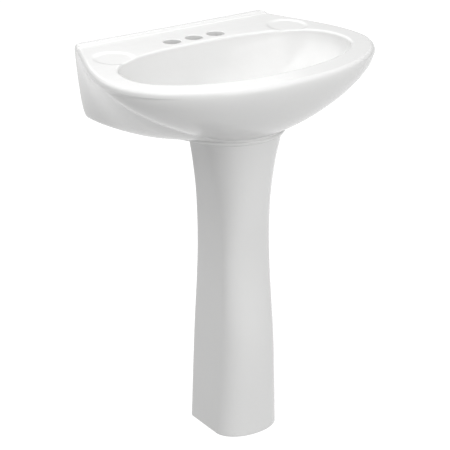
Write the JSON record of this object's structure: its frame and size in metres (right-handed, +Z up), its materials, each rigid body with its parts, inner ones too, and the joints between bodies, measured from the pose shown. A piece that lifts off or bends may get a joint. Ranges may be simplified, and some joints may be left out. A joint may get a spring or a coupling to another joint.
{
  "type": "pedestal sink",
  "caption": "Oval-front wash basin with a flat back deck and centre-set tap holes, standing on an open-backed pedestal, with a push-open drain stopper and wall bolts.",
  "frame": {"origin": "on the floor, at the middle of the whole sink's footprint", "axes": "+Z up, +Y to the wall behind the sink, +X to the right of someone standing at it"},
  "size_m": [0.5834, 0.479, 0.799],
  "materials": {
    "china": "white vitreous china, high gloss glaze",
    "chrome": "polished chrome plate on brass",
    "brass": "plain turned brass",
    "zinc_steel": "zinc-plated steel",
    "spring_steel": "drawn stainless spring wire",
    "rubber": "black moulded rubber, matt",
    "nylon": "off-white moulded nylon, satin"
  },
  "bodies": {
    "sink": {"basin": "china", "pedestal": "china", "drain_body": "chrome", "flange_gasket": "rubber", "tapered_washer": "rubber", "friction_washer": "nylon", "drain_locknut": "brass", "tailpiece_gasket": "rubber", "tailpiece": "chrome", "click_cartridge": "nylon", "cartridge_spring": "spring_steel", "hanger_bolt_left": "zinc_steel", "rubber_washer_left": "rubber", "steel_washer_left": "zinc_steel", "wall_nut_left": "zinc_steel", "hanger_bolt_right": "zinc_steel", "rubber_washer_right": "rubber", "steel_washer_right": "zinc_steel", "wall_nut_right": "zinc_steel"},
    "stopper": {"stopper_stem": "zinc_steel", "stopper_seal": "rubber", "stopper_cap": "chrome"}
  },
  "joints": [
    {"name": "stopper_lift", "type": "slide", "parent": "sink", "child": "stopper", "axis": [0, 0, 1], "range_m": [0, 0.009], "deforming": ["cartridge_spring"]}
  ]
}
